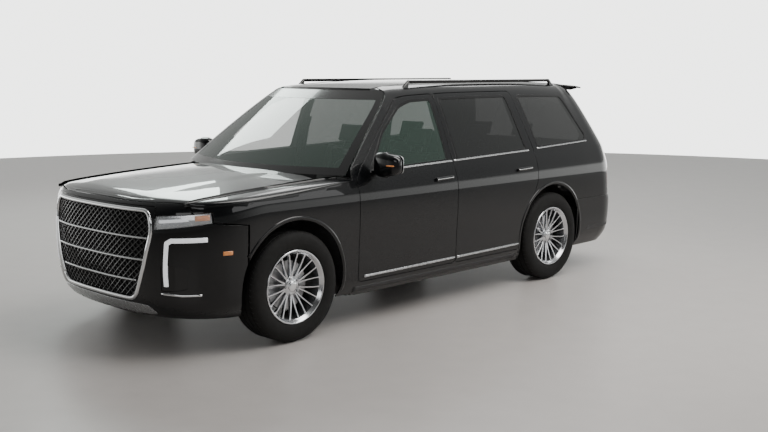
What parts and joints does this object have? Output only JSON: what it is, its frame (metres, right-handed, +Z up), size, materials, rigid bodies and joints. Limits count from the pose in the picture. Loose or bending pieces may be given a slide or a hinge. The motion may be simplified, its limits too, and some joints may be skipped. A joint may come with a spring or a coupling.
{
  "type": "suv",
  "caption": "Three-row family suv with hinged doors, bonnet and tailgate, steered front wheels, cabin and running gear.",
  "frame": {"origin": "on the ground under the middle of the vehicle", "axes": "+Z up, -Y to the front, +X to the vehicle's left side"},
  "size_m": [2.4188, 4.9572, 1.7228],
  "materials": {
    "body_paint": "glossy near-black paint",
    "dark_metal": "satin black",
    "cast_metal": "as cast",
    "alloy": "bright machined and lacquered",
    "tyre_rubber": "matt black",
    "black_plastic": "fine grain",
    "gloss_black": "gloss",
    "front_glass": "light green tint",
    "dark_glass": "dark tint",
    "lamp_clear": "clear lens over bright reflectors",
    "lamp_red": "red lens",
    "chrome_trim": "polished",
    "seat_leather": "dark grained",
    "cabin_trim": "soft grain",
    "exhaust_steel": "dull"
  },
  "bodies": {
    "body": {"floor_pan": "dark_metal", "body_side_left": "body_paint", "body_side_right": "body_paint", "roof_panel": "body_paint", "bulkhead": "dark_metal", "cowl": "black_plastic", "windscreen": "front_glass", "quarter_glass": "dark_glass", "front_fenders": "body_paint", "front_bumper": "body_paint", "grille": "gloss_black", "headlights": "lamp_clear", "tail_lights": "lamp_red", "rear_bumper": "body_paint", "wheel_liners": "black_plastic", "front_frame": "dark_metal", "engine": "cast_metal", "front_subframe": "dark_metal", "rear_subframe": "dark_metal", "fuel_tank": "black_plastic", "exhaust": "exhaust_steel", "dashboard": "cabin_trim", "front_seats": "seat_leather", "middle_seats": "seat_leather", "back_bench": "seat_leather", "roof_rails": "chrome_trim"},
    "front_door_left_body": {"front_door_left": "body_paint", "front_glass_left": "front_glass", "mirror_left": "body_paint"},
    "rear_door_left_body": {"rear_door_left": "body_paint", "rear_glass_left": "dark_glass"},
    "knuckle_left_body": {"knuckle_left": "cast_metal"},
    "front_wheel_left": {"tyre_front_left": "tyre_rubber", "rim_front_left": "alloy"},
    "rear_wheel_left": {"tyre_rear_left": "tyre_rubber", "rim_rear_left": "alloy"},
    "front_door_right_body": {"front_door_right": "body_paint", "front_glass_right": "front_glass", "mirror_right": "body_paint"},
    "rear_door_right_body": {"rear_door_right": "body_paint", "rear_glass_right": "dark_glass"},
    "knuckle_right_body": {"knuckle_right": "cast_metal"},
    "front_wheel_right": {"tyre_front_right": "tyre_rubber", "rim_front_right": "alloy"},
    "rear_wheel_right": {"tyre_rear_right": "tyre_rubber", "rim_rear_right": "alloy"},
    "bonnet_body": {"bonnet": "body_paint"},
    "tailgate_body": {"tailgate": "body_paint", "tailgate_glass": "dark_glass", "plate_holder": "black_plastic"},
    "steering_wheel_body": {"steering_wheel": "seat_leather"}
  },
  "joints": [
    {"name": "front_door_left_hinge", "type": "hinge", "parent": "body", "child": "front_door_left_body", "pos_m": [0.96678, -0.9315, 0.8], "axis": [0, 0, -1], "range_deg": [0, 66]},
    {"name": "rear_door_left_hinge", "type": "hinge", "parent": "body", "child": "rear_door_left_body", "pos_m": [0.9706, 0.1185, 0.8], "axis": [0, 0, -1], "range_deg": [0, 66]},
    {"name": "front_door_right_hinge", "type": "hinge", "parent": "body", "child": "front_door_right_body", "pos_m": [-0.96678, -0.9315, 0.8], "axis": [0, 0, 1], "range_deg": [0, 66]},
    {"name": "rear_door_right_hinge", "type": "hinge", "parent": "body", "child": "rear_door_right_body", "pos_m": [-0.9706, 0.1185, 0.8], "axis": [0, 0, 1], "range_deg": [0, 66]},
    {"name": "bonnet_hinge", "type": "hinge", "parent": "body", "child": "bonnet_body", "pos_m": [0, -1.14957, 1.04], "axis": [-1, 0, 0], "range_deg": [0, 50]},
    {"name": "tailgate_hinge", "type": "hinge", "parent": "body", "child": "tailgate_body", "pos_m": [0, 2.114, 1.66291], "axis": [1, 0, 0], "range_deg": [0, 82]},
    {"name": "steer_left", "type": "hinge", "parent": "body", "child": "knuckle_left_body", "pos_m": [0.77, -1.55, 0.376], "axis": [0, 0, 1], "range_deg": [-35, 35]},
    {"name": "steer_right", "type": "hinge", "parent": "body", "child": "knuckle_right_body", "pos_m": [-0.77, -1.55, 0.376], "axis": [0, 0, 1], "range_deg": [-35, 35]},
    {"name": "steering_wheel_turn", "type": "hinge", "parent": "body", "child": "steering_wheel_body", "pos_m": [0.4, -0.4877, 0.962], "axis": [0, 0.9135, 0.4067], "range_deg": [-490, 490]},
    {"name": "front_wheel_left_spin", "type": "hinge", "parent": "knuckle_left_body", "child": "front_wheel_left", "pos_m": [0.856, -1.55, 0.376], "axis": [1, 0, 0], "continuous": true},
    {"name": "rear_wheel_left_spin", "type": "hinge", "parent": "body", "child": "rear_wheel_left", "pos_m": [0.856, 1.35, 0.376], "axis": [1, 0, 0], "continuous": true},
    {"name": "front_wheel_right_spin", "type": "hinge", "parent": "knuckle_right_body", "child": "front_wheel_right", "pos_m": [-0.856, -1.55, 0.376], "axis": [1, 0, 0], "continuous": true},
    {"name": "rear_wheel_right_spin", "type": "hinge", "parent": "body", "child": "rear_wheel_right", "pos_m": [-0.856, 1.35, 0.376], "axis": [1, 0, 0], "continuous": true}
  ],
  "couplings": [
    {"joint": "steer_right", "follows": "steer_left", "ratio": 1},
    {"joint": "steering_wheel_turn", "follows": "steer_left", "ratio": 14}
  ]
}
